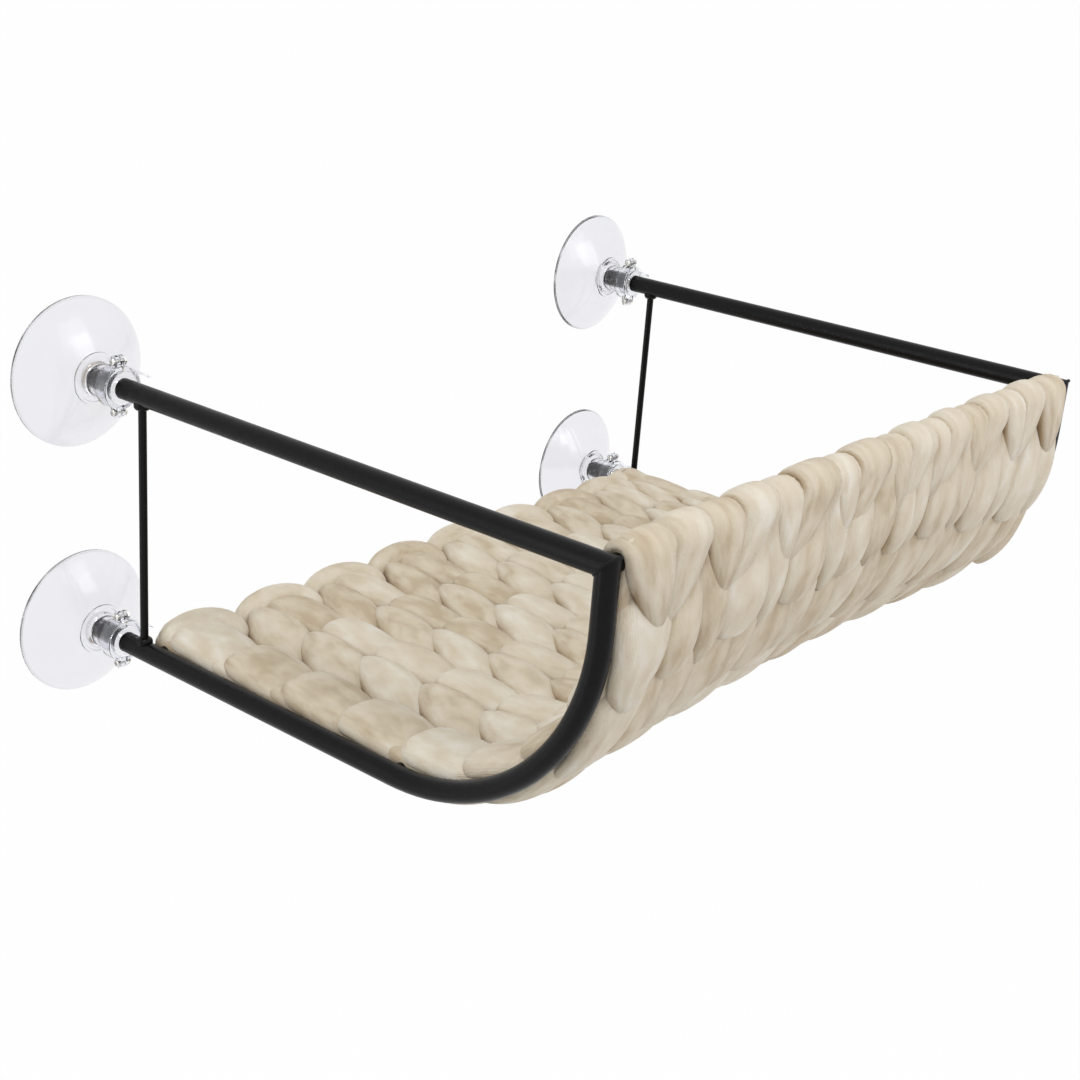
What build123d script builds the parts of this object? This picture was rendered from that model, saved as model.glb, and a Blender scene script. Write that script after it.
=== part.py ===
from build123d import *
from math import cos, pi, sin
import os

# A cat perch that hangs on a window: two bent steel side frames joined by rails, four suction
# cups clamped on the frames' rear ends, and a thick knitted mat looped over the rails.
# Sizes are in millimetres. X runs along the window, +Y points out through the glass and +Z is up.
# The origin lies on the glass, midway between the side frames, level with the bottom tubes.

# Side frames
frame_spacing = 500.0
frame_height = 163.0
frame_reach = 360.0
bend_radius = 130.0
tube_diameter = 12.7
tube_wall = 1.2
tube_insertion = 26.0

# Brace rods between each frame's top and bottom tubes
rod_diameter = 5.0
rod_setback = 17.0
rod_weld_leg = 2.6

# Rails that join the two side frames
rail_diameter = 10.0
rail_wall = 1.0
rear_rail_setback = 29.0
weld_gap = 0.1

# Knitted mat, with stitch rows across it and stitch columns along it on both faces
mat_thickness = 26.0
mat_side_gap = 0.5
mat_rail_gap = 0.3
mat_edge_radius = 15.0
mat_edge_depth = 9.0
inner_row_pitch = 49.0
outer_row_pitch = 46.0
inner_top_run = 51.0
outer_top_run = 30.0
rear_roll_run = 10.0
row_valley_depth = 5.0
column_groove_depth = 6.5
column_groove_width = 36.0
column_crown_radius = 24.0
groove_margin = 1.0

# Grooves between the stitch columns, as shares of the mat's width from its left edge
inner_groove_shares = (0.08, 0.215, 0.335, 0.46, 0.58, 0.70, 0.825, 0.925)
outer_groove_shares = (0.135, 0.27, 0.39, 0.51, 0.615, 0.72, 0.82, 0.935)

# Suction cup
cup_depth = 45.0
cup_radius = 46.5
cup_rim_width = 2.4
cup_rim_thickness = 1.4
cup_bell_bulge = 2.2
cup_floor_thickness = 4.5
cup_floor_radius = 13.0
cup_ring_radius = 15.0
cup_ring_bead = 1.1
neck_radius = 10.2
neck_root_length = 6.0
neck_mouth_chamfer = 0.5
bore_clearance = 0.05
bore_end_gap = 0.5

# Clamp collar round the neck
collar_length = 10.0
collar_wall = 2.8
collar_setback = 0.6
collar_clearance = 0.1
collar_split = 1.2
collar_edge_radius = 0.7
lug_thickness = 2.2
lug_radius = 3.4
tab_length = 18.0
tab_width = 7.0
tab_thickness = 1.4
tab_angle = 62.0

# Clamp screws and nuts
screw_diameter = 2.5
screw_head_diameter = 4.8
screw_head_height = 1.7
screw_slot_width = 0.7
screw_slot_depth = 0.8
screw_tip = 1.0
screw_hole_clearance = 0.15
screw_seat_gap = 0.05
nut_width = 5.0
nut_thickness = 2.0

# Extra length of a cut past what it cuts
overrun = 5.0

# Places that follow from the sizes
tube_radius = tube_diameter / 2
tube_bore = tube_radius - tube_wall
rod_radius = rod_diameter / 2
rail_radius = rail_diameter / 2
cup_bell_depth = cup_depth - tube_insertion
tube_end_y = -cup_bell_depth
front_y = -cup_depth - frame_reach
bend_y = front_y + bend_radius
rod_y = -cup_depth - rod_setback
rear_rail_y = -cup_depth - rear_rail_setback
neck_bore = tube_radius + bore_clearance
collar_bore = neck_radius + collar_clearance
collar_radius = collar_bore + collar_wall
collar_front = cup_depth - collar_setback
lug_depth = collar_front - collar_length / 2
screw_offset = collar_radius + screw_head_diameter / 2
screw_radius = screw_diameter / 2
lug_face = collar_split / 2 + lug_thickness
frame_sides = {"left": -frame_spacing / 2, "right": frame_spacing / 2}
tube_levels = {"top": frame_height, "bottom": 0}

os.makedirs("parts", exist_ok=True)


def write(piece, name):
    piece.part.label = name
    export_step(piece.part, f"parts/{name}.step")


# Planes whose +Z leaves the window, so a distance from the glass is a positive height
def plane_off_glass(x, depth, z):
    return Plane(origin=(x, -depth, z), x_dir=(1, 0, 0), z_dir=(0, -1, 0))


def tube_section():
    Circle(tube_radius)
    Circle(tube_bore, mode=Mode.SUBTRACT)


def weld_section():
    Circle(tube_radius + weld_gap)


# Straight arm from inside the cup's neck to the mitre
def top_arm(x, section):
    with BuildPart() as arm:
        with BuildSketch(plane_off_glass(x, -tube_end_y, frame_height)):
            section()
        extrude(amount=tube_end_y - front_y + tube_diameter)
        mitre_plane = Plane(origin=(x, front_y, frame_height), x_dir=(1, 0, 0), z_dir=(0, 1, 1))
        split(bisect_by=mitre_plane, keep=Keep.TOP)
    return arm


# Short upright, quarter bend and floor run in one tube, from the mitre back to the cup's neck
def bent_tube(x, section):
    with BuildPart() as tube:
        with BuildLine(Plane.YZ.offset(x)) as route:
            Line((front_y, frame_height + tube_diameter), (front_y, bend_radius))
            CenterArc((bend_y, bend_radius), bend_radius, start_angle=180, arc_size=90)
            Line((bend_y, 0), (tube_end_y, 0))
        with BuildSketch(Plane(origin=route.line @ 0, x_dir=(1, 0, 0), z_dir=route.line % 0)):
            section()
        sweep()
        with BuildSketch(Plane.YZ.offset(x - tube_diameter)):
            with Locations((front_y, frame_height)):
                Polygon(
                    (-tube_diameter, tube_diameter),
                    (tube_diameter, -tube_diameter),
                    (tube_diameter, 2 * tube_diameter),
                    (-tube_diameter, 2 * tube_diameter),
                    align=None,
                )
        extrude(amount=2 * tube_diameter, mode=Mode.SUBTRACT)
    return tube


# What the ends of the rods and rails are coped to: both tubes of a side frame, with the weld gap
weld_outlines = []
for side, x in frame_sides.items():
    weld_outlines.append(top_arm(x, weld_section).part)
    weld_outlines.append(bent_tube(x, weld_section).part)

# Side frames
for side, x in frame_sides.items():
    write(top_arm(x, tube_section), f"{side}_top_arm")
    write(bent_tube(x, tube_section), f"{side}_bent_tube")

# Brace rods, flared at both ends where the weld runs round them
for side, x in frame_sides.items():
    weld_radius = rod_radius + rod_weld_leg
    weld_top = tube_radius + rod_weld_leg
    with BuildPart() as brace_rod:
        with BuildSketch(plane_off_glass(x, -rod_y, 0)):
            with BuildLine():
                Line((0, 0), (weld_radius, 0))
                Line((weld_radius, 0), (weld_radius, tube_radius))
                RadiusArc((weld_radius, tube_radius), (rod_radius, weld_top), -rod_weld_leg)
                Line((rod_radius, weld_top), (rod_radius, frame_height - weld_top))
                RadiusArc(
                    (rod_radius, frame_height - weld_top),
                    (weld_radius, frame_height - tube_radius),
                    -rod_weld_leg,
                )
                Line((weld_radius, frame_height - tube_radius), (weld_radius, frame_height))
                Line((weld_radius, frame_height), (0, frame_height))
                Line((0, frame_height), (0, 0))
            make_face()
        revolve(axis=Axis((x, rod_y, 0), (0, 0, 1)))
        add(weld_outlines, mode=Mode.SUBTRACT)
    write(brace_rod, f"{side}_brace_rod")

# Rails across the perch: over the front, under the rear edge and where the flat floor ends
rail_places = {
    "front": (front_y, frame_height),
    "rear": (rear_rail_y, 0),
    "floor": (bend_y, 0),
}
for rail_name, (rail_y, rail_z) in rail_places.items():
    with BuildPart() as rail:
        rail_plane = Plane(
            origin=(frame_sides["left"], rail_y, rail_z), x_dir=(0, 1, 0), z_dir=(1, 0, 0)
        )
        with BuildSketch(rail_plane):
            Circle(rail_radius)
            Circle(rail_radius - rail_wall, mode=Mode.SUBTRACT)
        extrude(amount=frame_spacing)
        add(weld_outlines, mode=Mode.SUBTRACT)
    write(rail, f"{rail_name}_rail")

# Knitted mat: one thick band that follows the bent tubes, with the rails inside it
mat_width = frame_spacing - tube_diameter - 2 * mat_side_gap
skin = mat_thickness / 2
row_valley = skin - row_valley_depth
floor_run = rear_rail_y - bend_y
bend_run = bend_radius * pi / 2
mat_run = floor_run + bend_run + frame_height - bend_radius


# Point of the mat's side view: along runs from the rear rail, out leaves the middle inwards
def mat_point(along, out):
    if along < floor_run:
        return (rear_rail_y - along, out)
    if along > floor_run + bend_run:
        return (front_y + out, frame_height + along - mat_run)
    turn = (along - floor_run) / bend_radius
    radius = bend_radius - out
    return (bend_y - radius * sin(turn), bend_radius - radius * cos(turn))


# Valleys between the stitch rows of one face, from under the front rail back to the rear roll
def row_valleys(top_run, row_pitch):
    rows = int((mat_run - top_run - rear_roll_run) / row_pitch - 1 / 2)
    valleys = [mat_run - top_run - row * row_pitch for row in range(rows + 1)]
    return valleys + [rear_roll_run]


# Rounded rows of one face, hand is 1 for the inner face and -1 for the outer one
def stitch_rows(valleys, hand):
    for first, last in zip(valleys, valleys[1:]):
        ThreePointArc(
            mat_point(first, hand * row_valley),
            mat_point((first + last) / 2, hand * skin),
            mat_point(last, hand * row_valley),
        )


# Row that rises from the topmost valley of one face to the loop over the front rail
def top_row(valley, hand):
    crown = mat_point((valley + mat_run) / 2, hand * skin)
    shoulder = mat_point((3 * valley + mat_run) / 4, hand * (skin - row_valley_depth / 4))
    ThreePointArc(mat_point(valley, hand * row_valley), shoulder, crown)
    Line(crown, (front_y + hand * skin, frame_height))


# Section of the grooves between one face's stitch columns, and of what rounds its two side edges
def groove_section(route, shares):
    half_width = column_groove_width / 2
    with BuildSketch(Plane(origin=route @ 0, x_dir=(1, 0, 0), z_dir=route % 0)) as section:
        for share in shares:
            x = (share - 1 / 2) * mat_width
            bottom = (x, -column_groove_depth)
            with BuildLine():
                RadiusArc((x - half_width, groove_margin), bottom, -column_crown_radius)
                RadiusArc(bottom, (x + half_width, groove_margin), -column_crown_radius)
                Line((x + half_width, groove_margin), (x - half_width, groove_margin))
            make_face()
        for hand in (-1, 1):
            top = (hand * (mat_width / 2 - mat_edge_depth), groove_margin)
            side = (hand * (mat_width / 2 + groove_margin), -mat_edge_depth)
            with BuildLine():
                RadiusArc(top, side, hand * mat_edge_radius)
                Polyline(side, (side[0], top[1]), top)
            make_face()
    return section.sketch


inner_valleys = row_valleys(inner_top_run, inner_row_pitch)
outer_valleys = row_valleys(outer_top_run, outer_row_pitch)
with BuildPart() as knit_mat:
    with BuildSketch(Plane.YZ.offset(-mat_width / 2)):
        with BuildLine():
            stitch_rows(inner_valleys, 1)
            top_row(inner_valleys[0], 1)
            CenterArc((front_y, frame_height), skin, start_angle=0, arc_size=180)
            top_row(outer_valleys[0], -1)
            stitch_rows(outer_valleys, -1)
            ThreePointArc(
                mat_point(rear_roll_run, -row_valley),
                mat_point(-skin, 0),
                mat_point(rear_roll_run, row_valley),
            )
        make_face()
    extrude(amount=mat_width)
    with BuildLine(Plane.YZ) as inner_route:
        CenterArc((rear_rail_y, 0), skin, start_angle=-90, arc_size=180)
        Line((rear_rail_y, skin), (bend_y, skin))
        CenterArc((bend_y, bend_radius), bend_radius - skin, start_angle=-90, arc_size=-90)
    inner_grooves = groove_section(inner_route.line, inner_groove_shares)
    sweep(inner_grooves, path=inner_route.line, mode=Mode.SUBTRACT)
    with BuildLine(Plane.YZ) as outer_route:
        Line((front_y + skin, bend_radius), (front_y + skin, frame_height))
        CenterArc((front_y, frame_height), skin, start_angle=0, arc_size=180)
        Line((front_y - skin, frame_height), (front_y - skin, bend_radius))
        CenterArc((bend_y, bend_radius), bend_radius + skin, start_angle=180, arc_size=90)
        Line((bend_y, -skin), (rear_rail_y, -skin))
    outer_grooves = groove_section(outer_route.line, outer_groove_shares)
    sweep(outer_grooves, path=outer_route.line, mode=Mode.SUBTRACT)
    with BuildSketch(Plane.YZ.offset(-mat_width / 2 - overrun)):
        with Locations(*rail_places.values()):
            Circle(rail_radius + mat_rail_gap)
    extrude(amount=mat_width + 2 * overrun, mode=Mode.SUBTRACT)
write(knit_mat, "knit_mat")


# Suction cup: a shallow bell with a flat sealing rim, a moulded ring, and a neck for the tube
def suction_cup(x, z):
    rim_inside = cup_radius - cup_rim_width
    bore_bottom = cup_bell_depth - bore_end_gap
    dish_depth = bore_bottom - cup_floor_thickness
    bead_out = cup_ring_radius + cup_ring_bead
    bead_in = cup_ring_radius - cup_ring_bead
    root_top = cup_bell_depth + neck_root_length
    outer_middle = ((cup_radius + bead_out) / 2, (cup_rim_thickness + cup_bell_depth) / 2)
    inner_middle = ((rim_inside + cup_floor_radius) / 2, dish_depth / 2)
    with BuildPart() as cup:
        profile_plane = Plane(origin=(x, 0, z), x_dir=(1, 0, 0), z_dir=(0, 0, -1))
        with BuildSketch(profile_plane):
            with BuildLine():
                Line((rim_inside, 0), (cup_radius, 0))
                Line((cup_radius, 0), (cup_radius, cup_rim_thickness))
                ThreePointArc(
                    (cup_radius, cup_rim_thickness),
                    (outer_middle[0], outer_middle[1] + cup_bell_bulge),
                    (bead_out, cup_bell_depth),
                )
                ThreePointArc(
                    (bead_out, cup_bell_depth),
                    (cup_ring_radius, cup_bell_depth + cup_ring_bead),
                    (bead_in, cup_bell_depth),
                )
                ThreePointArc(
                    (bead_in, cup_bell_depth),
                    ((bead_in + 2 * neck_radius) / 3, cup_bell_depth + neck_root_length / 3),
                    (neck_radius, root_top),
                )
                Line((neck_radius, root_top), (neck_radius, cup_depth - neck_mouth_chamfer))
                Line(
                    (neck_radius, cup_depth - neck_mouth_chamfer),
                    (neck_radius - neck_mouth_chamfer, cup_depth),
                )
                Line((neck_radius - neck_mouth_chamfer, cup_depth), (neck_bore, cup_depth))
                Line((neck_bore, cup_depth), (neck_bore, bore_bottom))
                Line((neck_bore, bore_bottom), (0, bore_bottom))
                Line((0, bore_bottom), (0, dish_depth))
                Line((0, dish_depth), (cup_floor_radius, dish_depth))
                ThreePointArc(
                    (cup_floor_radius, dish_depth),
                    (inner_middle[0], inner_middle[1] + cup_bell_bulge),
                    (rim_inside, 0),
                )
            make_face()
        revolve(axis=Axis((x, 0, z), (0, -1, 0)))
    return cup


# Half of the clamp collar, hand is -1 for the half on the screw heads' side and 1 for the nuts'
def collar_half(x, z, hand):
    with BuildPart() as half:
        with BuildSketch(plane_off_glass(x, collar_front - collar_length, z)):
            Circle(collar_radius)
        extrude(amount=collar_length)
        fillet(half.edges().filter_by(GeomType.CIRCLE), radius=collar_edge_radius)
        lug_plane = Plane(origin=(x, -lug_depth, z), x_dir=(0, -1, 0), z_dir=(hand, 0, 0))
        with BuildSketch(lug_plane):
            SlotCenterToCenter(2 * screw_offset, 2 * lug_radius, rotation=90)
        extrude(amount=lug_face)
        if hand > 0:
            with BuildSketch(plane_off_glass(x, lug_depth - tab_width / 2, z)):
                with PolarLocations(collar_radius, 1, start_angle=tab_angle):
                    Rectangle(tab_thickness, tab_length, align=(Align.MAX, Align.MAX))
            extrude(amount=tab_width)
        with BuildSketch(lug_plane.offset(collar_split / 2)):
            Rectangle(2 * cup_depth, 4 * screw_offset)
        extrude(amount=-collar_radius - collar_split, mode=Mode.SUBTRACT)
        with BuildSketch(plane_off_glass(x, collar_front - collar_length - overrun, z)):
            Circle(collar_bore)
        extrude(amount=collar_length + 2 * overrun, mode=Mode.SUBTRACT)
        with BuildSketch(lug_plane):
            with Locations((0, screw_offset), (0, -screw_offset)):
                Circle(screw_radius + screw_hole_clearance)
        extrude(amount=collar_radius + overrun, mode=Mode.SUBTRACT)
    return half


# Both clamp screws of a collar, round heads on the left, each with a slot
def collar_screws(x, z):
    shank_length = 2 * lug_face + 2 * screw_seat_gap + nut_thickness + screw_tip
    head_seat_x = x - lug_face - screw_seat_gap
    with BuildPart() as screws:
        for screw_z in (z - screw_offset, z + screw_offset):
            head_plane = Plane(
                origin=(head_seat_x, -lug_depth, screw_z), x_dir=(0, 1, 0), z_dir=(-1, 0, 0)
            )
            with BuildSketch(head_plane):
                Circle(screw_head_diameter / 2)
            extrude(amount=screw_head_height)
            with BuildSketch(head_plane):
                Circle(screw_radius)
            extrude(amount=-shank_length)
        head_tops = screws.faces().filter_by(Axis.X).group_by(Axis.X)[0]
        fillet(head_tops.edges(), radius=screw_head_height / 2)
        for screw_z in (z - screw_offset, z + screw_offset):
            slot_plane = Plane(
                origin=(head_seat_x - screw_head_height, -lug_depth, screw_z),
                x_dir=(0, 1, 0),
                z_dir=(-1, 0, 0),
            )
            with BuildSketch(slot_plane):
                Rectangle(screw_slot_width, screw_head_diameter)
                Rectangle(screw_head_diameter * 2 / 3, screw_slot_width)
            extrude(amount=-screw_slot_depth, mode=Mode.SUBTRACT)
    return screws


# Both hexagon nuts of a collar, on the right
def collar_nuts(x, z):
    with BuildPart() as nuts:
        nut_plane = Plane(
            origin=(x + lug_face + screw_seat_gap, -lug_depth, z), x_dir=(0, 1, 0), z_dir=(1, 0, 0)
        )
        with BuildSketch(nut_plane):
            with Locations((0, screw_offset), (0, -screw_offset)):
                RegularPolygon(nut_width / 2, 6, major_radius=False)
                Circle(screw_radius + screw_seat_gap, mode=Mode.SUBTRACT)
        extrude(amount=nut_thickness)
    return nuts


# One cup with its collar, screws and nuts on the rear end of each tube
for side, x in frame_sides.items():
    for level, z in tube_levels.items():
        corner = f"{side}_{level}"
        write(suction_cup(x, z), f"{corner}_suction_cup")
        write(collar_half(x, z, -1), f"{corner}_collar_left_half")
        write(collar_half(x, z, 1), f"{corner}_collar_right_half")
        write(collar_screws(x, z), f"{corner}_collar_screws")
        write(collar_nuts(x, z), f"{corner}_collar_nuts")
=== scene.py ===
import math
import random

import bpy
import numpy as np
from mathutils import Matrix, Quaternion, Vector


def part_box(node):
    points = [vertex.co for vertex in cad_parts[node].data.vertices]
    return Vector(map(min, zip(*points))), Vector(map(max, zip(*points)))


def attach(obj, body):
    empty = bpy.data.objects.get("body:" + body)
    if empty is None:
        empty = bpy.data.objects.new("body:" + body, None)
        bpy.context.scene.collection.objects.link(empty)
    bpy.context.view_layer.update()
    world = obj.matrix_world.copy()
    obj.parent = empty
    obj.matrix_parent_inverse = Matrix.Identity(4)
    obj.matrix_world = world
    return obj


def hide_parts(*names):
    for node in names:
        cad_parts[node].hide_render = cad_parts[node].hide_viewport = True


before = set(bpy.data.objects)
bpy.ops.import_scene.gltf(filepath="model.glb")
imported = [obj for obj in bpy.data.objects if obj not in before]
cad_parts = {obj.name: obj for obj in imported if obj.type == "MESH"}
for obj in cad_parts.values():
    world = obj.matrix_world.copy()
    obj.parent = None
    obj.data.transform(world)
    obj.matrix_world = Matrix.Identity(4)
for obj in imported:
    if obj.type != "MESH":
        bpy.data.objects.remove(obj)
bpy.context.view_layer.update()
random.seed(11)
mm = 0.001

# Places taken from the frame
front_rail = sum(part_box("front_rail"), Vector()) / 2
rear_rail = sum(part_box("rear_rail"), Vector()) / 2
floor_rail = sum(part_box("floor_rail"), Vector()) / 2
mat_low, mat_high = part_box("knit_mat")
mat_width = mat_high.x - mat_low.x
bend_radius = floor_rail.y - front_rail.y
floor_run = rear_rail.y - floor_rail.y
bend_run = bend_radius * math.pi / 2
upright_run = front_rail.z - floor_rail.z - bend_radius
belt_run = floor_run + bend_run + upright_run

# Inner face: columns from the window to the front rail, as middle and width, near edge first
inner_columns = [
    (-172 * mm, 67 * mm),
    (-110 * mm, 59 * mm),
    (-50 * mm, 60 * mm),
    (9 * mm, 59 * mm),
    (69 * mm, 60 * mm),
    (128 * mm, 59 * mm),
    (182 * mm, 49 * mm),
    (226 * mm, 40 * mm),
]
row_pitch = 49 * mm
inner_rows = 9
first_tip = -2 * mm
rail_stop = 11 * mm
inner_tip_play_mm = 2
tip_step = 1 * mm
near_tip_share = 0.03
near_foot_share = 0.43
near_width_share = 0.58
bow_low_share = 0.03
bow_high_share = 0.08
far_tip_share = 0.29
far_foot_share = 0.36
far_width_share = 0.56

# The broad lobes down the inner face's near edge, and the rim of lobes along its far edge
inner_edge_middle = -224 * mm
inner_edge_width = 44 * mm
inner_edge_tip_shift = 2 * mm
inner_edge_foot_shift = 3 * mm
far_rim_middle = 233 * mm
far_rim_width = 32 * mm
far_rim_outward = 7 * mm
far_rim_rise = 8 * mm
far_rim_rows = 5
far_rim_shift = 2 * mm
far_rim_shortening = 10 * mm
unclipped_reach = 1000 * mm

# Top row of the outer face: near side, tip and width of the near leaf; the far leaf fills the rest
top_columns = [
    (-241 * mm, -216 * mm, 33 * mm),
    (-176 * mm, -164 * mm, 30 * mm),
    (-114 * mm, -108 * mm, 24 * mm),
    (-54 * mm, -45 * mm, 24 * mm),
    (4 * mm, 15 * mm, 25 * mm),
    (58 * mm, 58 * mm, 20 * mm),
    (103 * mm, 110 * mm, 24 * mm),
    (156 * mm, 170 * mm, 22 * mm),
    (208 * mm, 226 * mm, 34 * mm),
]
top_tip_drop = 42 * mm
top_row_arch = 4 * mm
top_tip_play_mm = 1.5
top_leaf_length = 98 * mm
top_settling = 0.7
top_rise = 4.3 * mm
top_far_tip_share = 0.08
top_head_share = 0.42
top_far_fullness = 1.35
top_far_least_width = 34 * mm
top_near_fullness = 1.25
top_near_tuck = 6 * mm

# Lower rows: far side, tip and width of the pointed far leaf; the near leaf fills the rest
lower_columns = [
    (-207 * mm, -221 * mm, 36 * mm),
    (-159 * mm, -166 * mm, 25 * mm),
    (-101 * mm, -111 * mm, 22 * mm),
    (-43 * mm, -47 * mm, 22 * mm),
    (19 * mm, -1 * mm, 34 * mm),
    (59 * mm, 43 * mm, 24 * mm),
    (119 * mm, 104 * mm, 24 * mm),
    (178 * mm, 166 * mm, 25 * mm),
    (240 * mm, 226 * mm, 24 * mm),
]
second_row_step = 49 * mm
outer_row_pitch = 46 * mm
outer_rows = 9
row_lean = 12 * mm
leaning_rows = 2
lower_row_arch = 26 * mm
straightening_rows = 6
lower_tip_play_mm = 2
lower_leaf_length = 78 * mm
lower_lift = 4.8 * mm
narrowest_leaf = 6 * mm
lower_tuck = 5 * mm
lower_near_shortening = 5 * mm
lower_near_tip_share = 0.45
lower_near_head_share = 0.8
lower_near_fullness = 1.25
lower_far_lengthening = 3 * mm
lower_far_head_share = 0.4
lower_far_fullness = 1.15
filling_inset_share = 0.6
filling_fullness = 1.2
filling_tuck = 8 * mm

# How the mat turns over the front rail and sags in the middle of its bend
edge_reach = mat_width / 2 + 1 * mm
rail_wrap_radius = 6 * mm
rail_wrap_run = rail_wrap_radius * math.pi
rail_clearing_run = 16 * mm
rail_clearing = 6.5 * mm
rail_cover = 7 * mm
near_rail_cover = 6.5 * mm
far_rail_cover = 8.5 * mm
middle_pull = 9 * mm
pull_start = floor_run * 0.85

# Shape of a leaf
leaf_length = 75 * mm
leaf_outward = 10.5 * mm
leaf_inward = 5 * mm
leaf_rise = 2.5 * mm
leaf_lift = 3.5 * mm
overlap_rise = 0.8 * mm
least_girth = 0.96
greatest_girth = 1.03
turn_play_mm = 2.5
squareness = 0.8
height_fullness = 0.8
# Painted shade in the creases: how soon it clears from a leaf's tips, and how it is lifted near the mat's
# free side edges
full_crown = 4.5
free_edge_full = 3 * mm
free_edge_fade = 8 * mm
free_edge_crown = 0.8
leaf_rings = 28
rail_leaf_rings = 64
leaf_sides = 24

# How sharply a leaf closes at its raised tip and at its tucked end
pointed = (0.7, 0.5)
pointed_below = (0.66, 0.32)
blunt = (0.28, 0.5)
square = (0.16, 0.35)
wedge_over_rail = (0.62, 0.16)
rolled = (0.45, 0.5)
slanted = (0.3, 0.32)

# Rolled lobes on the rear rail: their path across, along and up from a column's side and the rail
rear_lobe_radius = 13 * mm
rear_lobe_path = [
    (-2 * mm, -24 * mm, 2 * mm),
    (18 * mm, 2 * mm, 6 * mm),
    (-20 * mm, 17 * mm, 7 * mm),
    (-52 * mm, -6 * mm, 0),
]
rear_lobe_drop_mm = 1.5
rear_lobe_lift_mm = 1
rear_edge_lobe_share = 0.85

# Small lobes along the two side edges, and one over the front rail at each end
side_lobe_inset = 7.5 * mm
side_lobe_start = 13 * mm
side_lobe_width = 17 * mm
side_lobe_outward = 8 * mm
side_lobe_lift = 2 * mm
rail_end_lobe_width = 15 * mm
rail_end_lobe_outward = 5.5 * mm
rail_end_lobe_cover = 1 * mm

# The inside of the mat
core_half_thickness = 3 * mm
core_inset = 6 * mm
core_columns = 14
core_steps = 48

# Weld beads
weld_reach = 0.94
bead_thickness = 0.9 * mm
bead_rings = 90
bead_sides = 8
bead_ripples = 30
ripple_share = 0.22
bead_sways = 5
sway_share = 0.1


# Points and outward directions on the band that the mat follows: along runs from the rear rail over
# the inner face to the front rail, round the rail, and back along the outer face
def band(x, along, height):
    x, along, height = np.broadcast_arrays(*(np.asarray(v, float) for v in (x, along, height)))
    turn = np.clip((along - belt_run) / rail_wrap_run, 0, 1) * math.pi
    place = np.where(along > belt_run, belt_run, along)
    place = np.where(along > belt_run + rail_wrap_run, 2 * belt_run + rail_wrap_run - along, place)
    angle = np.clip((place - floor_run) / bend_radius, 0, math.pi / 2)
    straight = np.minimum(place, floor_run)
    upright = np.maximum(place - floor_run - bend_run, 0)
    y = rear_rail.y - straight - bend_radius * np.sin(angle)
    z = floor_rail.z + bend_radius * (1 - np.cos(angle)) + upright
    inward_y, inward_z = np.sin(angle), np.cos(angle)
    normal_y = inward_y * np.cos(turn)
    normal_z = inward_z * np.cos(turn) + np.sin(turn)
    bulge = np.clip((place - pull_start) / (belt_run - pull_start), 0, 1)
    pull = middle_pull * np.sin(bulge * math.pi) ** 2 * (1 - (2 * x / mat_width) ** 2)
    y = y + inward_y * pull + normal_y * height
    z = z + inward_z * pull + normal_z * height
    points = np.stack([x, y, z], -1)
    normals = np.stack([np.zeros_like(x), normal_y, normal_z], -1)
    return points, normals
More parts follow.
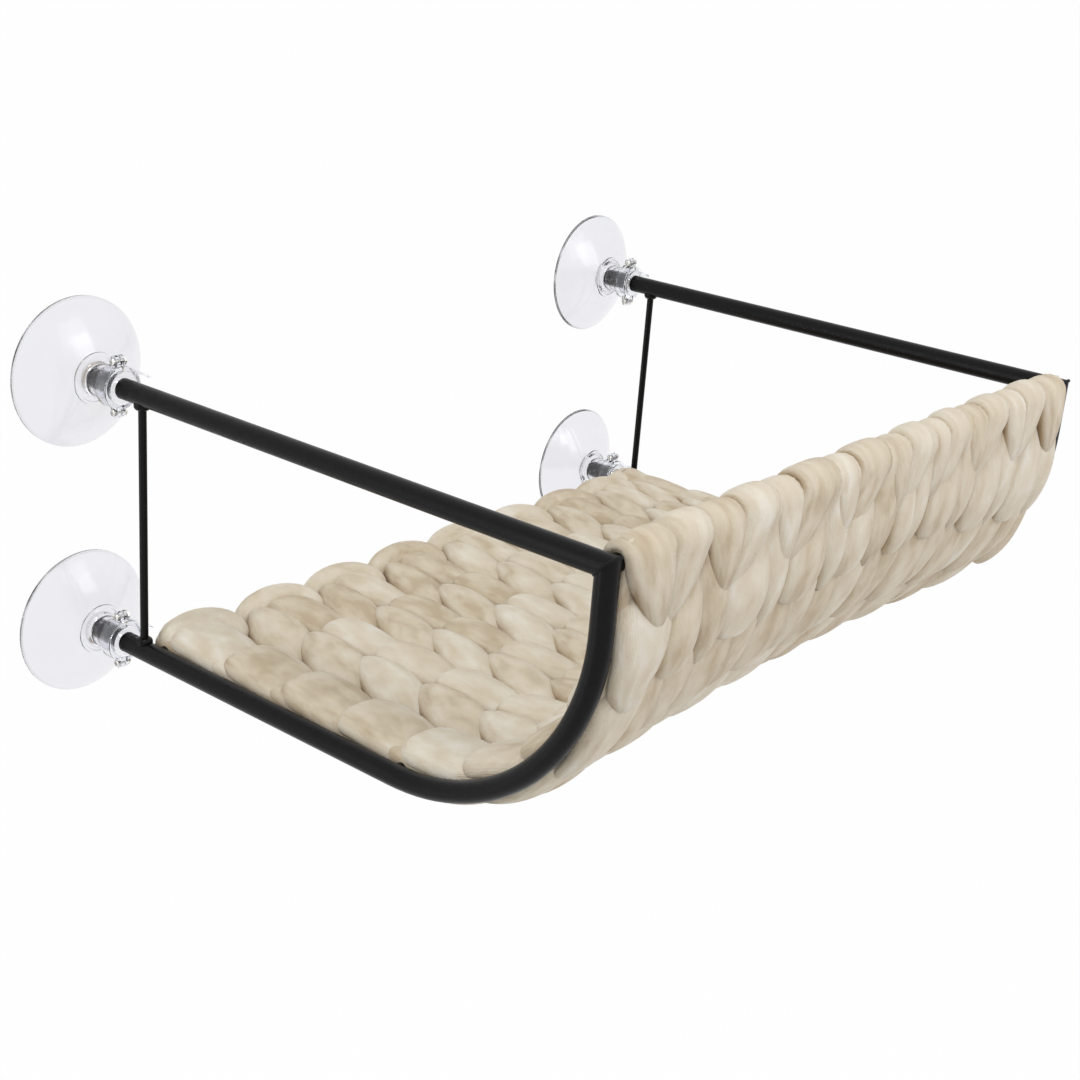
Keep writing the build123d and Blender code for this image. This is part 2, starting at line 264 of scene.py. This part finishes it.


# A mesh gathered from many closed pods, with each point's place along and round its strand, the strand's
# own tone, and how far the point stands out of the creases, which sets the painted shade in its colour
class Yarn:
    def __init__(self):
        self.points, self.faces, self.places, self.depths = [], [], [], []
        self.count = 0

    def add_pod(self, centres, normals, girth, half_width, outward_height, inward_height, round_look=False):
        rings = len(centres)
        tangents = np.gradient(centres, axis=0)
        tangents /= np.linalg.norm(tangents, axis=1)[:, None]
        across = np.cross(tangents, normals)
        across /= np.linalg.norm(across, axis=1)[:, None]
        outward = np.cross(across, tangents)
        angles = np.arange(leaf_sides) / leaf_sides * 2 * math.pi - math.pi / 2
        sideways = np.sign(np.cos(angles)) * np.abs(np.cos(angles)) ** squareness * half_width
        upward = np.sign(np.sin(angles)) * np.abs(np.sin(angles)) ** squareness
        outwards = np.broadcast_to(outward_height, (rings,))[:, None]
        upward = np.where(upward > 0, upward * outwards, upward * inward_height)
        inner = slice(1, rings - 1)
        body = (
            centres[inner, None]
            + across[inner, None] * (girth[inner, None] * sideways[None])[..., None]
            + outward[inner, None] * (girth[inner, None] ** height_fullness * upward[inner])[..., None]
        )
        lengths = np.concatenate([[0], np.cumsum(np.linalg.norm(np.diff(centres, axis=0), axis=1))])
        first = self.count
        self.points.append(centres[:1])
        self.points.append(body.reshape(-1, 3))
        self.points.append(centres[-1:])
        around = (angles + math.pi / 2) * half_width
        grid = np.stack(np.meshgrid(lengths[inner], around, indexing="ij"), -1).reshape(-1, 2)
        ends = np.array([[lengths[0], 0], [lengths[-1], 0]])
        vertices = 2 + (rings - 2) * leaf_sides
        tone = np.full((vertices, 1), random.random())
        self.places.append(np.concatenate([np.concatenate([ends[:1], grid, ends[1:]]), tone], 1))
        # Painted shade: darker at the thin ends and on the inward side of the pod; a round-looking pod is
        # darker on its flanks instead
        facing = np.abs(np.sin(angles)) if round_look else np.sin(angles)
        shade_crown = np.minimum(girth[inner, None] * full_crown, 1) * (0.5 + 0.5 * facing[None])
        self.depths.append(np.concatenate([[0], shade_crown.ravel(), [0]]))
        last = first + vertices - 1
        for side in range(leaf_sides):
            following = (side + 1) % leaf_sides
            self.faces.append((first, first + 1 + following, first + 1 + side))
            for ring in range(rings - 3):
                a = first + 1 + ring * leaf_sides
                b = a + leaf_sides
                self.faces.append((a + side, a + following, b + following, b + side))
            a = first + 1 + (rings - 3) * leaf_sides
            self.faces.append((a + side, a + following, last))
        self.count += vertices

    def build(self, name):
        mesh = bpy.data.meshes.new(name)
        mesh.from_pydata(np.concatenate(self.points).tolist(), [], self.faces)
        mesh.shade_smooth()
        place = mesh.attributes.new("yarn_place", "FLOAT_VECTOR", "POINT")
        place.data.foreach_set("vector", np.concatenate(self.places).astype(np.float32).ravel())
        depths = np.concatenate(self.depths)
        # The painted crease shade is lifted near the mat's free side edges
        from_side = mat_width / 2 - np.abs(np.concatenate(self.points)[:, 0])
        free = np.clip(1 - (from_side - free_edge_full) / free_edge_fade, 0, 1) * (depths > 0)
        shade_crown = mesh.attributes.new("painted_shade_crown", "FLOAT", "POINT")
        shade_crown.data.foreach_set("value", np.maximum(depths, free * free_edge_crown).astype(np.float32))
        mesh.validate()
        piece = bpy.data.objects.new(name, mesh)
        bpy.context.scene.collection.objects.link(piece)
        return piece


# Places along a leaf as shares of its length, closer together at both ends
def leaf_places(rings):
    return (1 - np.cos(np.linspace(0, math.pi, rings))) / 2


# How far the leaf is filled out along its length, from its tip to its tucked end
def leaf_girth(shares, closing):
    tip, tuck = closing
    swell = np.clip(shares, 0, 1) ** tip * np.clip(1 - shares, 0, 1) ** tuck
    return swell / swell.max()


# One leaf of yarn on the band, from its raised tip at start to its tucked end
def add_leaf(yarn, start, end, width, closing, outward=leaf_outward, rise=leaf_rise, lift=leaf_lift,
             bow=0.0, settling=0, reach=edge_reach, cover=rail_cover, rings=leaf_rings):
    shares = leaf_places(rings)
    girth = leaf_girth(shares, closing) * random.uniform(least_girth, greatest_girth)
    turn = random.uniform(-turn_play_mm, turn_play_mm) * mm
    room = reach - girth * width / 2
    sideways = np.sin(np.clip(shares / settling, 0, 1) * math.pi / 2) if settling else shares
    x = start[0] + (end[0] - start[0]) * sideways + bow * np.sin(shares * math.pi) + turn * (shares - 0.5)
    x = np.clip(x, -room, room)
    along = start[1] + (end[1] - start[1]) * shares
    height = rise + lift * np.cos(shares * math.pi)
    over_rail = np.exp(-(((along - belt_run - rail_wrap_run / 2) / rail_clearing_run) ** 2))
    height += (rail_clearing - height) * over_rail
    outwards = outward + (cover - outward) * over_rail
    centres, normals = band(x, along, height)
    yarn.add_pod(centres, normals, girth, width / 2, outwards, leaf_inward)


# Rows of paired leaves, with a pointed near leaf over a blunt far one
def knit_inner_face(yarn):
    last_end = belt_run - rail_stop
    for row in range(inner_rows):
        tip = first_tip + row * row_pitch
        start = (inner_edge_middle + inner_edge_tip_shift, tip)
        end = (inner_edge_middle - inner_edge_foot_shift, min(tip + leaf_length, last_end))
        add_leaf(yarn, start, end, inner_edge_width, square)
        for middle, width in inner_columns:
            place = tip + random.uniform(-inner_tip_play_mm, inner_tip_play_mm) * mm
            foot = min(place + leaf_length, last_end)
            bow = random.uniform(bow_low_share, bow_high_share) * width
            start = (middle + width * near_tip_share, place - tip_step)
            end = (middle - width * near_foot_share, foot)
            add_leaf(yarn, start, end, width * near_width_share, pointed, rise=leaf_rise + overlap_rise,
                     bow=bow)
            start = (middle + width * far_tip_share, place + tip_step)
            end = (middle + width * far_foot_share, foot)
            add_leaf(yarn, start, end, width * far_width_share, blunt)
        if row < far_rim_rows:
            start = (far_rim_middle, tip + far_rim_shift)
            end = (far_rim_middle - far_rim_shift, tip + leaf_length - far_rim_shortening)
            add_leaf(yarn, start, end, far_rim_width, square, outward=far_rim_outward, rise=far_rim_rise,
                     lift=0, reach=unclipped_reach)


# How far an outer row leans to the near side; the lean grows over the first lower rows
def lean_of(row):
    return row_lean * min(row - 1, leaning_rows)


# How far a row's middle stands above its ends, at a place across the mat
def arched(x, arch):
    return arch * (1 - (2 * x / mat_width) ** 2)


# The top row wraps over the front rail; its near leaves lie on its far ones
def knit_top_row(yarn, row_place):
    far_sides = [column[0] for column in top_columns[1:]] + [edge_reach]
    for (near_side, tip, near_width), far_side in zip(top_columns, far_sides):
        play = random.uniform(-top_tip_play_mm, top_tip_play_mm) * mm
        place = row_place - arched(tip, top_row_arch) + play
        head_place = place - top_leaf_length
        far_width = far_side - near_side - near_width
        if far_width > narrowest_leaf:
            start = (tip + far_width * top_far_tip_share, place - tip_step)
            end = (far_side - far_width * top_head_share, head_place)
            width = max(far_width * top_far_fullness, top_far_least_width)
            add_leaf(yarn, start, end, width, wedge_over_rail, rise=top_rise, settling=top_settling,
                     cover=far_rail_cover, rings=rail_leaf_rings)
        end = (near_side + near_width * top_head_share, head_place)
        width = near_width * top_near_fullness + top_near_tuck
        add_leaf(yarn, (tip, place), end, width, wedge_over_rail, rise=top_rise + overlap_rise,
                 settling=top_settling, cover=near_rail_cover, rings=rail_leaf_rings)


# In a lower row a broad near leaf lies under a pointed far one, and the row leans to the near side
def knit_lower_row(yarn, row_place, arch, lean):
    near_sides = [-edge_reach + lean] + [column[0] for column in lower_columns[:-1]]
    for near_side, (far_side, tip, far_width) in zip(near_sides, lower_columns):
        play = random.uniform(-lower_tip_play_mm, lower_tip_play_mm) * mm
        place = row_place - arched(tip, arch) + play
        near_width = far_side - near_side - far_width
        head_x = near_side
        if near_width > narrowest_leaf:
            start = (near_side + near_width * lower_near_tip_share - lean, place - lower_near_shortening)
            end = (near_side + near_width * lower_near_head_share - lean, place - lower_leaf_length)
            width = near_width * lower_near_fullness + lower_tuck
            add_leaf(yarn, start, end, width, slanted, lift=lower_lift)
            head_x = far_side - far_width * lower_far_head_share - lean
        end = (head_x, place - lower_leaf_length - lower_far_lengthening)
        width = far_width * lower_far_fullness + lower_tuck
        add_leaf(yarn, (tip - lean, place), end, width, pointed_below, rise=leaf_rise + overlap_rise,
                 lift=lower_lift)


# Rows down the front and under the floor; their arch straightens on the way
def knit_outer_face(yarn):
    row_place = belt_run + rail_wrap_run + top_tip_drop
    knit_top_row(yarn, row_place)
    for row in range(1, outer_rows):
        row_place += outer_row_pitch if row > 1 else second_row_step
        arch = lower_row_arch * max(1 - (row - 1) / straightening_rows, 0)
        knit_lower_row(yarn, row_place, arch, lean_of(row))


# A smooth curve through space under the pull of four points
def curve(points, shares):
    shares = np.asarray(shares)[:, None]
    first, second, third, fourth = (np.array(point) for point in points)
    rest = 1 - shares
    return rest**3 * first + 3 * rest**2 * shares * second + 3 * rest * shares**2 * third + shares**3 * fourth


# Rolled lobes over the rear rail: each rises from between two columns and curls to the near side
def knit_rear_edge(yarn):
    shares = leaf_places(leaf_rings)
    normals = np.tile([0.0, 0.0, 1.0], (leaf_rings, 1))
    edge_column = (inner_edge_middle + inner_edge_tip_shift, inner_edge_width * rear_edge_lobe_share)
    for middle, width in [edge_column] + inner_columns:
        column_side = middle + width / 2
        lift = random.uniform(-rear_lobe_drop_mm, rear_lobe_lift_mm) * mm
        points = [
            (column_side + across, rear_rail.y + along, rear_rail.z + up + raised)
            for (across, along, up), raised in zip(rear_lobe_path, (0, lift, lift, 0))
        ]
        centres = curve(points, shares)
        girth = leaf_girth(shares, rolled)
        room = edge_reach - girth * rear_lobe_radius
        centres[:, 0] = np.clip(centres[:, 0], -room, room)
        radius = rear_lobe_radius
        yarn.add_pod(centres, normals, girth, radius, radius, radius, round_look=True)


# Small lobes that close the two side edges between the faces
def knit_side_edges(yarn):
    for edge_x in (mat_low.x + side_lobe_inset, mat_high.x - side_lobe_inset):
        for row in range(inner_rows):
            start = (edge_x, row * row_pitch - side_lobe_start)
            end = (edge_x, row * row_pitch + leaf_length)
            add_leaf(yarn, start, end, side_lobe_width, square, outward=side_lobe_outward, rise=0,
                     lift=side_lobe_lift)
        start = (edge_x, belt_run + rail_wrap_run + leaf_length)
        end = (edge_x, belt_run - leaf_length)
        add_leaf(yarn, start, end, rail_end_lobe_width, square, outward=rail_end_lobe_outward, rise=0, lift=0,
                 cover=rail_end_lobe_cover, rings=rail_leaf_rings)


# Narrow leaves that fill the far side of the leaning rows
def knit_far_side(yarn):
    row_place = belt_run + rail_wrap_run + top_tip_drop + second_row_step
    for row in range(2, outer_rows):
        row_place += outer_row_pitch
        lean = lean_of(row)
        middle = edge_reach - lean * filling_inset_share
        end = (middle, row_place - lower_leaf_length)
        width = lean * filling_fullness + filling_tuck
        add_leaf(yarn, (middle, row_place), end, width, slanted, lift=lower_lift)


# The inside of the knitting, which the gaps between the leaves look down on
def knit_core(yarn):
    reach = mat_width / 2 - core_inset
    across = np.linspace(-reach, reach, core_columns)
    x = np.concatenate([across, across[::-1]])
    height = np.repeat([core_half_thickness, -core_half_thickness], core_columns)
    along = np.linspace(0, belt_run, core_steps)
    points = band(x[None], along[:, None], height[None])[0].reshape(-1, 3)
    first, sides = yarn.count, len(x)
    yarn.points.append(points)
    yarn.places.append(np.zeros((len(points), 3)))
    yarn.depths.append(np.zeros(len(points)))
    yarn.count += len(points)
    for step in range(core_steps - 1):
        a = first + step * sides
        b = a + sides
        for side in range(sides):
            following = (side + 1) % sides
            yarn.faces.append((a + side, a + following, b + following, b + side))
    end = first + (core_steps - 1) * sides
    yarn.faces.append(tuple(first + side for side in reversed(range(sides))))
    yarn.faces.append(tuple(end + side for side in range(sides)))


# The whole mat, which takes the place of the solid one
def make_mat(material):
    yarn = Yarn()
    knit_core(yarn)
    knit_inner_face(yarn)
    knit_outer_face(yarn)
    knit_rear_edge(yarn)
    knit_side_edges(yarn)
    knit_far_side(yarn)
    mat = yarn.build("knitted_mat")
    mat.data.materials.append(material)
    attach(mat, "frame")
    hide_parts("knit_mat")


# Soft blotches over a surface, shared by every finish
def blotch_group():
    group = bpy.data.node_groups.new("surface_blotches", "ShaderNodeTree")
    group.interface.new_socket("Scale", in_out="INPUT", socket_type="NodeSocketFloat")
    group.interface.new_socket("Low", in_out="INPUT", socket_type="NodeSocketFloat")
    group.interface.new_socket("High", in_out="INPUT", socket_type="NodeSocketFloat")
    group.interface.new_socket("Value", in_out="OUTPUT", socket_type="NodeSocketFloat")
    nodes, links = group.nodes, group.links
    inputs, outputs = nodes.new("NodeGroupInput"), nodes.new("NodeGroupOutput")
    coordinates = nodes.new("ShaderNodeTexCoord")
    noise = nodes.new("ShaderNodeTexNoise")
    noise.inputs["Detail"].default_value = 2
    spread = nodes.new("ShaderNodeMapRange")
    spread.inputs["From Min"].default_value = 0.3
    spread.inputs["From Max"].default_value = 0.7
    links.new(coordinates.outputs["Object"], noise.inputs["Vector"])
    links.new(inputs.outputs["Scale"], noise.inputs["Scale"])
    links.new(noise.outputs["Fac"], spread.inputs["Value"])
    links.new(inputs.outputs["Low"], spread.inputs["To Min"])
    links.new(inputs.outputs["High"], spread.inputs["To Max"])
    links.new(spread.outputs["Result"], outputs.inputs["Value"])
    return group


# A material with its nodes, links and shader
def new_material(name):
    material = bpy.data.materials.new(name)
    material.use_nodes = True
    nodes = material.node_tree.nodes
    return material, nodes, material.node_tree.links, nodes["Principled BSDF"]


def add_blotches(nodes, scale, low, high):
    blotches = nodes.new("ShaderNodeGroup")
    blotches.node_tree = bpy.data.node_groups.get("surface_blotches") or blotch_group()
    blotches.inputs["Scale"].default_value = scale
    blotches.inputs["Low"].default_value = low
    blotches.inputs["High"].default_value = high
    return blotches.outputs["Value"]


def add_bump(nodes, links, shader, height, depth):
    bump = nodes.new("ShaderNodeBump")
    bump.inputs["Strength"].default_value = 1
    bump.inputs["Distance"].default_value = depth
    links.new(height, bump.inputs["Height"])
    links.new(bump.outputs["Normal"], shader.inputs["Normal"])


def add_ramp(nodes, links, value, stops):
    ramp = nodes.new("ShaderNodeValToRGB")
    elements = ramp.color_ramp.elements
    while len(elements) < len(stops):
        elements.new(0.5)
    for element, (position, colour) in zip(elements, stops):
        element.position = position
        element.color = (*colour, 1)
    links.new(value, ramp.inputs[0])
    return ramp.outputs["Color"]


def add_math(nodes, links, operation, first, second):
    node = nodes.new("ShaderNodeMath")
    node.operation = operation
    for socket, value in zip(node.inputs, (first, second)):
        if isinstance(value, (int, float)):
            socket.default_value = value
        else:
            links.new(value, socket)
    return node.outputs[0]


# Cream velvet: every strand has its own tone, soft patches where the pile leans, fine ribs along it
# and painted shade that makes the creases darker and browner where the strands press together
def velvet_yarn():
    material, nodes, links, shader = new_material("velvet_yarn")
    place = nodes.new("ShaderNodeAttribute")
    place.attribute_name = "yarn_place"
    parts = nodes.new("ShaderNodeSeparateXYZ")
    links.new(place.outputs["Vector"], parts.inputs[0])
    strand_tone = parts.outputs["Z"]
    stretch = nodes.new("ShaderNodeVectorMath")
    stretch.operation = "MULTIPLY"
    stretch.inputs[1].default_value = (52, 90, 40)
    links.new(place.outputs["Vector"], stretch.inputs[0])
    patches = nodes.new("ShaderNodeTexNoise")
    patches.inputs["Scale"].default_value = 1
    patches.inputs["Detail"].default_value = 2
    patches.inputs["Distortion"].default_value = 0.2
    links.new(stretch.outputs[0], patches.inputs["Vector"])
    lean = add_math(nodes, links, "MULTIPLY", patches.outputs["Fac"], 0.95)
    tone = add_math(nodes, links, "MULTIPLY", strand_tone, 0.35)
    mixed = add_math(nodes, links, "ADD", lean, tone)
    pile = add_ramp(nodes, links, mixed, [
        (0.38, (0.540, 0.440, 0.310)),
        (0.60, (0.675, 0.590, 0.455)),
        (0.80, (0.735, 0.665, 0.540)),
        (1.00, (0.810, 0.765, 0.670)),
    ])
    # Painted shade: dark brown in the creases, at the leaf tips and on the undersides, fading to none at the
    # crowns
    shade_crown = nodes.new("ShaderNodeAttribute")
    shade_crown.attribute_name = "painted_shade_crown"
    painted_crease_shade = add_ramp(nodes, links, shade_crown.outputs["Fac"], [
        (0.48, (0.30, 0.20, 0.12)),
        (0.60, (0.64, 0.54, 0.43)),
        (0.70, (0.88, 0.83, 0.77)),
        (0.84, (1.0, 1.0, 1.0)),
    ])
    shaded = nodes.new("ShaderNodeMix")
    shaded.data_type = "RGBA"
    shaded.blend_type = "MULTIPLY"
    shaded.inputs["Factor"].default_value = 1
    links.new(pile, shaded.inputs["A"])
    links.new(painted_crease_shade, shaded.inputs["B"])
    links.new(shaded.outputs["Result"], shader.inputs["Base Color"])
    ribs = nodes.new("ShaderNodeTexWave")
    ribs.bands_direction = "Y"
    ribs.inputs["Scale"].default_value = 240
    ribs.inputs["Distortion"].default_value = 3
    ribs.inputs["Detail"].default_value = 2
    links.new(place.outputs["Vector"], ribs.inputs["Vector"])
    nap = add_blotches(nodes, scale=700, low=0, high=1)
    pile_height = add_math(nodes, links, "ADD", ribs.outputs["Fac"], nap)
    add_bump(nodes, links, shader, pile_height, depth=0.12 * mm)
    shader.inputs["Roughness"].default_value = 0.85
    shader.inputs["Specular IOR Level"].default_value = 0.2
    shader.inputs["Sheen Weight"].default_value = 0.25
    shader.inputs["Sheen Roughness"].default_value = 0.4
    shader.inputs["Sheen Tint"].default_value = (1, 0.96, 0.9, 1)
    return material


# Satin black powder coat with a fine grain
def black_coating():
    material, nodes, links, shader = new_material("black_powder_coat")
    colour = add_ramp(nodes, links, add_blotches(nodes, scale=300, low=0, high=1), [
        (0.0, (0.0022, 0.0023, 0.0024)),
        (1.0, (0.0040, 0.0040, 0.0042)),
    ])
    links.new(colour, shader.inputs["Base Color"])
    links.new(add_blotches(nodes, scale=60, low=0.26, high=0.36), shader.inputs["Roughness"])
    grain = add_blotches(nodes, scale=1500, low=0, high=1)
    add_bump(nodes, links, shader, grain, depth=0.03 * mm)
    shader.inputs["Specular IOR Level"].default_value = 0.14
    return material


# A rippled bead of weld round a joint, along the ellipse that the two axes give
def add_weld_bead(name, middle, first_axis, second_axis, thickness, coat):
    turns = np.arange(bead_rings) / bead_rings * 2 * math.pi
    first_axis, second_axis = np.array(first_axis), np.array(second_axis)
    outward = np.cos(turns)[:, None] * first_axis + np.sin(turns)[:, None] * second_axis
    along = np.cross(first_axis, second_axis)
    along /= np.linalg.norm(along)
    centres = np.array(middle) + outward
    outward /= np.linalg.norm(outward, axis=1)[:, None]
    ripple = ripple_share * np.sin(turns * bead_ripples) + sway_share * np.sin(turns * bead_sways + 1)
    radii = thickness * (1 + ripple)
    angles = np.arange(bead_sides) / bead_sides * 2 * math.pi
    around = (
        outward[:, None] * np.cos(angles)[None, :, None]
        + along[None, None] * np.sin(angles)[None, :, None]
    )
    points = centres[:, None] + around * radii[:, None, None]
    faces = []
    for ring in range(bead_rings):
        a, b = ring * bead_sides, (ring + 1) % bead_rings * bead_sides
        for side in range(bead_sides):
            following = (side + 1) % bead_sides
            faces.append((a + side, b + side, b + following, a + following))
    mesh = bpy.data.meshes.new(name)
    mesh.from_pydata(points.reshape(-1, 3).tolist(), [], faces)
    mesh.shade_smooth()
    mesh.materials.append(coat)
    bead = bpy.data.objects.new(name, mesh)
    bpy.context.scene.collection.objects.link(bead)
    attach(bead, "frame")


# Welds round the mitres at the front corners
def weld_frame(coat):
    for side in ("left", "right"):
        tube_low, tube_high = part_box(side + "_bent_tube")
        tube_x = (tube_low.x + tube_high.x) / 2
        tube_radius = (tube_high.x - tube_low.x) / 2
        corner = (tube_x, front_rail.y, front_rail.z)
        mitre = (0, -tube_radius * weld_reach, tube_radius * weld_reach)
        add_weld_bead(side + "_mitre_weld", corner, (tube_radius, 0, 0), mitre, bead_thickness, coat)


# Clear plastic with a faint tint and a slightly uneven moulded surface
def clear_plastic(name, colour, roughness, unevenness):
    material, nodes, links, shader = new_material(name)
    tint = add_ramp(nodes, links, add_blotches(nodes, scale=25, low=0, high=1), [
        (0.0, tuple(part * 0.985 for part in colour)),
        (1.0, colour),
    ])
    links.new(tint, shader.inputs["Base Color"])
    uneven_gloss = add_blotches(nodes, scale=40, low=roughness * 0.7, high=roughness * 1.4)
    links.new(uneven_gloss, shader.inputs["Roughness"])
    add_bump(nodes, links, shader, add_blotches(nodes, scale=90, low=0, high=1), depth=unevenness)
    shader.inputs["Transmission Weight"].default_value = 1
    shader.inputs["IOR"].default_value = 1.47
    return material


# Plated steel of the screws and nuts
def bright_steel():
    material, nodes, links, shader = new_material("bright_plated_steel")
    colour = add_ramp(nodes, links, add_blotches(nodes, scale=400, low=0, high=1), [
        (0.0, (0.60, 0.59, 0.56)),
        (1.0, (0.82, 0.82, 0.80)),
    ])
    links.new(colour, shader.inputs["Base Color"])
    links.new(add_blotches(nodes, scale=500, low=0.14, high=0.32), shader.inputs["Roughness"])
    shader.inputs["Metallic"].default_value = 1
    return material


# The carried-over pieces get their finish by the ending of their names
def dress_nodes(coat):
    steel = bright_steel()
    cup = clear_plastic("clear_soft_cup", (0.86, 0.86, 0.90), roughness=0.12, unevenness=0.05 * mm)
    collar = clear_plastic("clear_hard_collar", (0.93, 0.94, 0.97), roughness=0.03, unevenness=0.1 * mm)
    endings = {
        "arm": coat, "tube": coat, "rod": coat, "rail": coat, "suction_cup": cup,
        "half": collar, "screws": steel, "nuts": steel,
    }
    for name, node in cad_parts.items():
        for ending, material in endings.items():
            if name.endswith(ending):
                node.data.materials.clear()
                node.data.materials.append(material)


# Camera at the photograph's viewing angle
def place_camera():
    azimuth = math.radians(-51.78)
    elevation = math.radians(20.88)
    roll = math.radians(4.44)
    data = bpy.data.cameras.new("camera")
    data.lens = 58.23
    data.sensor_width = 36
    camera = bpy.data.objects.new("camera", data)
    bpy.context.scene.collection.objects.link(camera)
    back = Vector((
        math.sin(azimuth) * math.cos(elevation),
        -math.cos(azimuth) * math.cos(elevation),
        math.sin(elevation),
    ))
    camera.rotation_mode = "QUATERNION"
    turn = (-back).to_track_quat("-Z", "Y")
    camera.rotation_quaternion = turn @ Quaternion((0, 0, 1), roll)
    camera.location = Vector((-0.8668, -0.8492, 0.4631))
    data.clip_end = 50
    bpy.context.scene.camera = camera


# A softbox at a place, turned to its target
def add_lamp(name, place, target, size, power, colour=(1, 1, 1)):
    data = bpy.data.lights.new(name, "AREA")
    data.shape = "RECTANGLE"
    data.size, data.size_y = size
    data.energy = power
    data.color = colour
    lamp = bpy.data.objects.new(name, data)
    bpy.context.scene.collection.objects.link(lamp)
    lamp.visible_camera = False
    lamp.location = Vector(place)
    direction = Vector(target) - lamp.location
    lamp.rotation_mode = "QUATERNION"
    lamp.rotation_quaternion = direction.to_track_quat("-Z", "Y")


# How much a ray sees plain white instead of the studio: straight, mirrored and refracted looks
def white_seen(nodes, links):
    rays = nodes.new("ShaderNodeLightPath")
    first = nodes.new("ShaderNodeMath")
    first.operation = "MAXIMUM"
    links.new(rays.outputs["Is Camera Ray"], first.inputs[0])
    links.new(rays.outputs["Is Glossy Ray"], first.inputs[1])
    second = nodes.new("ShaderNodeMath")
    second.operation = "MAXIMUM"
    links.new(first.outputs[0], second.inputs[0])
    links.new(rays.outputs["Is Transmission Ray"], second.inputs[1])
    return second.outputs[0]


# Even light from all sides, which straight, mirrored and refracted looks see as white
def light_world(scene):
    world = bpy.data.worlds.new("studio")
    scene.world = world
    world.use_nodes = True
    nodes, links = world.node_tree.nodes, world.node_tree.links
    background = nodes["Background"]
    background.inputs["Color"].default_value = (1, 1, 1, 1)
    strength = nodes.new("ShaderNodeMapRange")
    strength.inputs["To Min"].default_value = 0.67
    strength.inputs["To Max"].default_value = 1.0
    links.new(white_seen(nodes, links), strength.inputs["Value"])
    links.new(strength.outputs[0], background.inputs["Strength"])


# White floor far below the perch, which keeps the perch's shadow
def lay_floor(scene, reach, depth):
    mesh = bpy.data.meshes.new("studio_floor")
    corners = [(-reach, -reach, depth), (reach, -reach, depth), (reach, reach, depth), (-reach, reach, depth)]
    mesh.from_pydata(corners, [], [(0, 1, 2, 3)])
    floor = bpy.data.objects.new("studio_floor", mesh)
    scene.collection.objects.link(floor)
    material, nodes, links, shader = new_material("studio_white")
    shader.inputs["Base Color"].default_value = (0.85, 0.85, 0.85, 1)
    shader.inputs["Roughness"].default_value = 0.9
    glow = nodes.new("ShaderNodeEmission")
    mix = nodes.new("ShaderNodeMixShader")
    fade = add_math(nodes, links, "MULTIPLY", white_seen(nodes, links), 0.98)
    links.new(fade, mix.inputs[0])
    links.new(shader.outputs[0], mix.inputs[1])
    links.new(glow.outputs[0], mix.inputs[2])
    links.new(mix.outputs[0], nodes["Material Output"].inputs["Surface"])
    mesh.materials.append(material)


def light_studio():
    scene = bpy.context.scene
    scene.view_settings.view_transform = "Standard"
    light_world(scene)
    add_lamp("overhead_softbox", place=(-1.0, -0.8, 3.0), target=(0, -0.25, 0.05), size=(0.8, 0.8), power=27)
    add_lamp("front_softbox", place=(0.6, -2.0, 0.9), target=(0, -0.3, 0.08), size=(1.0, 1.0), power=8.5,
             colour=(1.0, 0.93, 0.94))
    add_lamp("side_softbox", place=(-2.2, 0.6, 0.2), target=(0, -0.2, 0.08), size=(0.28, 2.2), power=9)
    lay_floor(scene, reach=40.0, depth=-1.2)


coat = black_coating()
dress_nodes(coat)
weld_frame(coat)
make_mat(velvet_yarn())
place_camera()
light_studio()
